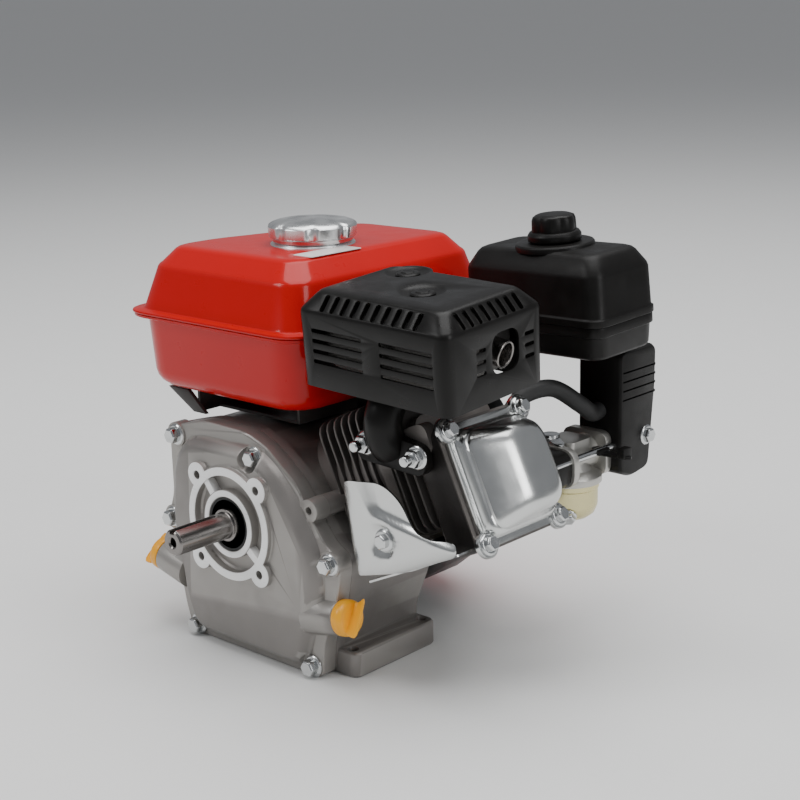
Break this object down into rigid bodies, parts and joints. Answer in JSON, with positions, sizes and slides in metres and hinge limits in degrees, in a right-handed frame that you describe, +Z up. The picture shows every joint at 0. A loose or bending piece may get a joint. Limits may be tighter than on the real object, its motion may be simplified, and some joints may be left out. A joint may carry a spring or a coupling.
{
  "type": "small gasoline engine",
  "caption": "Small air-cooled petrol engine with a horizontal output shaft, fuel tank, guarded exhaust, air cleaner, carburettor and recoil starter.",
  "frame": {"origin": "on the base plane, under the crankshaft axis, half way along the feet", "axes": "+Z up; -Y out of the output shaft; +X towards the cylinder"},
  "size_m": [0.3492, 0.329, 0.3287],
  "materials": {
    "case_casting": "painted die casting, machined faces bare",
    "zinc_plate": "bright zinc plate",
    "rubber": "moulded rubber",
    "ground_steel": "ground steel",
    "yellow_plastic": "moulded yellow-orange plastic",
    "cast_iron": "as cast",
    "dark_casting": "dark heat-resistant paint",
    "bright_plate": "bright plate on pressed steel",
    "dark_steel": "dark forged steel",
    "black_plastic": "satin moulded plastic",
    "red_paint": "gloss paint",
    "satin_plate": "satin plate",
    "grey_paint": "satin paint",
    "black_paint": "satin heat-resistant paint",
    "carburetor_casting": "bare die casting",
    "yellow_passivate": "yellow passivated plate",
    "filter_paper": "pleated paper and foam"
  },
  "bodies": {
    "block": {"crankcase": "case_casting", "side_cover": "case_casting", "side_cover_bolt_1": "zinc_plate", "side_cover_bolt_2": "zinc_plate", "side_cover_bolt_3": "zinc_plate", "side_cover_bolt_4": "zinc_plate", "side_cover_bolt_5": "zinc_plate", "side_cover_bolt_6": "zinc_plate", "pto_oil_seal": "rubber", "pto_bearing": "ground_steel", "flywheel_bearing": "ground_steel", "cylinder_sleeve": "cast_iron", "cylinder_head": "dark_casting", "valve_cover": "bright_plate", "piston": "ground_steel", "connecting_rod": "ground_steel", "spark_plug": "ground_steel", "spark_plug_boot": "rubber", "cylinder_shroud": "bright_plate", "ignition_coil": "black_plastic", "fan_cover": "black_paint", "starter_housing": "red_paint", "fuel_tank_upper": "red_paint", "fuel_tank_lower": "red_paint", "tank_bracket": "grey_paint", "fuel_cock": "satin_plate", "muffler_guard": "black_paint", "muffler": "dark_steel", "exhaust_pipe": "black_paint", "intake_insulator": "black_plastic", "carburetor": "carburetor_casting", "float_bowl": "yellow_passivate", "intake_elbow": "black_plastic", "breather_hose": "rubber", "air_cleaner_base": "black_plastic", "air_filter": "filter_paper", "control_plate": "zinc_plate"},
    "crank": {"crankshaft": "dark_steel", "big_end_bearing": "ground_steel", "flywheel": "cast_iron", "cooling_fan": "black_plastic"},
    "cam": {"camshaft": "cast_iron"},
    "intake_rocker": {"intake_rocker": "ground_steel"},
    "intake_valve": {"intake_valve": "dark_steel"},
    "intake_push_rod": {"intake_push_rod": "ground_steel"},
    "exhaust_rocker": {"exhaust_rocker": "ground_steel"},
    "exhaust_valve": {"exhaust_valve": "dark_steel"},
    "exhaust_push_rod": {"exhaust_push_rod": "ground_steel"},
    "starter_handle": {"starter_handle": "black_plastic"},
    "starter_reel": {"starter_reel": "black_plastic"},
    "oil_dipstick": {"oil_dipstick": "yellow_plastic"},
    "oil_filler_plug": {"oil_filler_plug": "yellow_plastic"},
    "fuel_cap": {"fuel_cap": "satin_plate"},
    "stop_switch": {"stop_switch": "black_plastic"},
    "fuel_cock_lever": {"fuel_cock_lever": "black_plastic"},
    "throttle_lever": {"throttle_lever": "black_plastic"},
    "throttle_arm": {"throttle_arm": "zinc_plate"},
    "choke_lever": {"choke_lever": "black_plastic"},
    "air_cleaner_cover": {"air_cleaner_cover": "black_plastic"},
    "air_cleaner_knob": {"air_cleaner_knob": "black_plastic"}
  },
  "joints": [
    {"name": "crank_turn", "type": "hinge", "parent": "block", "child": "crank", "pos_m": [0, 0, 0.106], "axis": [0, 1, 0], "continuous": true},
    {"name": "cam_turn", "type": "hinge", "parent": "block", "child": "cam", "pos_m": [0.04142, 0.014, 0.07456], "axis": [0, 1, 0], "continuous": true},
    {"name": "intake_rocker_tilt", "type": "hinge", "parent": "block", "child": "intake_rocker", "pos_m": [0.18011, 0.028, 0.16461], "axis": [0, -1, 0], "range_deg": [0, 11.4]},
    {"name": "intake_valve_slide", "type": "slide", "parent": "block", "child": "intake_valve", "axis": [-0.9063, 0, -0.4226], "range_m": [0, 0.005]},
    {"name": "intake_push_rod_slide", "type": "slide", "parent": "block", "child": "intake_push_rod", "axis": [0.9063, 0, 0.4226], "range_m": [0, 0.005]},
    {"name": "exhaust_rocker_tilt", "type": "hinge", "parent": "block", "child": "exhaust_rocker", "pos_m": [0.18011, 0, 0.16461], "axis": [0, -1, 0], "range_deg": [0, 11.4]},
    {"name": "exhaust_valve_slide", "type": "slide", "parent": "block", "child": "exhaust_valve", "axis": [-0.9063, 0, -0.4226], "range_m": [0, 0.005]},
    {"name": "exhaust_push_rod_slide", "type": "slide", "parent": "block", "child": "exhaust_push_rod", "axis": [0.9063, 0, 0.4226], "range_m": [0, 0.005]},
    {"name": "starter_pull", "type": "slide", "parent": "block", "child": "starter_handle", "axis": [-0.9397, 0, 0.3419], "range_m": [0, 0.4]},
    {"name": "starter_reel_turn", "type": "hinge", "parent": "block", "child": "starter_reel", "pos_m": [0, 0.158, 0.106], "axis": [0, -1, 0], "range_deg": [0, 660]},
    {"name": "dipstick_lift", "type": "slide", "parent": "block", "child": "oil_dipstick", "axis": [0.9848, 0, 0.1736], "range_m": [0, 0.06]},
    {"name": "filler_plug_lift", "type": "slide", "parent": "block", "child": "oil_filler_plug", "axis": [-0.9848, 0, 0.1736], "range_m": [0, 0.03]},
    {"name": "fuel_cap_turn", "type": "hinge", "parent": "block", "child": "fuel_cap", "pos_m": [-0.006, 0.032, 0.31], "axis": [0, 0, 1], "range_deg": [0, 90]},
    {"name": "stop_switch_turn", "type": "hinge", "parent": "block", "child": "stop_switch", "pos_m": [-0.107, 0.093, 0.126], "axis": [1, 0, 0], "range_deg": [0, 40]},
    {"name": "fuel_cock_turn", "type": "hinge", "parent": "block", "child": "fuel_cock_lever", "pos_m": [0.0668, 0.139, 0.184], "axis": [1, 0, 0], "range_deg": [0, 90]},
    {"name": "throttle_lever_turn", "type": "hinge", "parent": "block", "child": "throttle_lever", "pos_m": [0.098, 0.078, 0.207], "axis": [0, 0, 1], "range_deg": [0, 25]},
    {"name": "throttle_arm_turn", "type": "hinge", "parent": "block", "child": "throttle_arm", "pos_m": [0.17, 0.1, 0.165], "axis": [0, 0, 1], "range_deg": [0, 25]},
    {"name": "choke_turn", "type": "hinge", "parent": "block", "child": "choke_lever", "pos_m": [0.2, 0.122, 0.154], "axis": [0, 0, 1], "range_deg": [0, 40]},
    {"name": "air_cover_lift", "type": "slide", "parent": "block", "child": "air_cleaner_cover", "axis": [-0.0367, -0.0517, 0.998], "range_m": [0, 0.09]},
    {"name": "air_knob_turn", "type": "hinge", "parent": "air_cleaner_cover", "child": "air_cleaner_knob", "pos_m": [0.1578, 0.129, 0.2285], "axis": [-0.0367, -0.0517, 0.998], "continuous": true}
  ],
  "couplings": [
    {"joint": "cam_turn", "follows": "crank_turn", "ratio": -0.5},
    {"joint": "intake_valve_slide", "follows": "intake_rocker_tilt", "m_per_rad": 0.023},
    {"joint": "intake_push_rod_slide", "follows": "intake_rocker_tilt", "m_per_rad": 0.023},
    {"joint": "exhaust_valve_slide", "follows": "exhaust_rocker_tilt", "m_per_rad": 0.023},
    {"joint": "exhaust_push_rod_slide", "follows": "exhaust_rocker_tilt", "m_per_rad": 0.023},
    {"joint": "starter_reel_turn", "follows": "starter_pull", "rad_per_m": 28.571},
    {"joint": "throttle_arm_turn", "follows": "throttle_lever_turn", "ratio": 1}
  ]
}
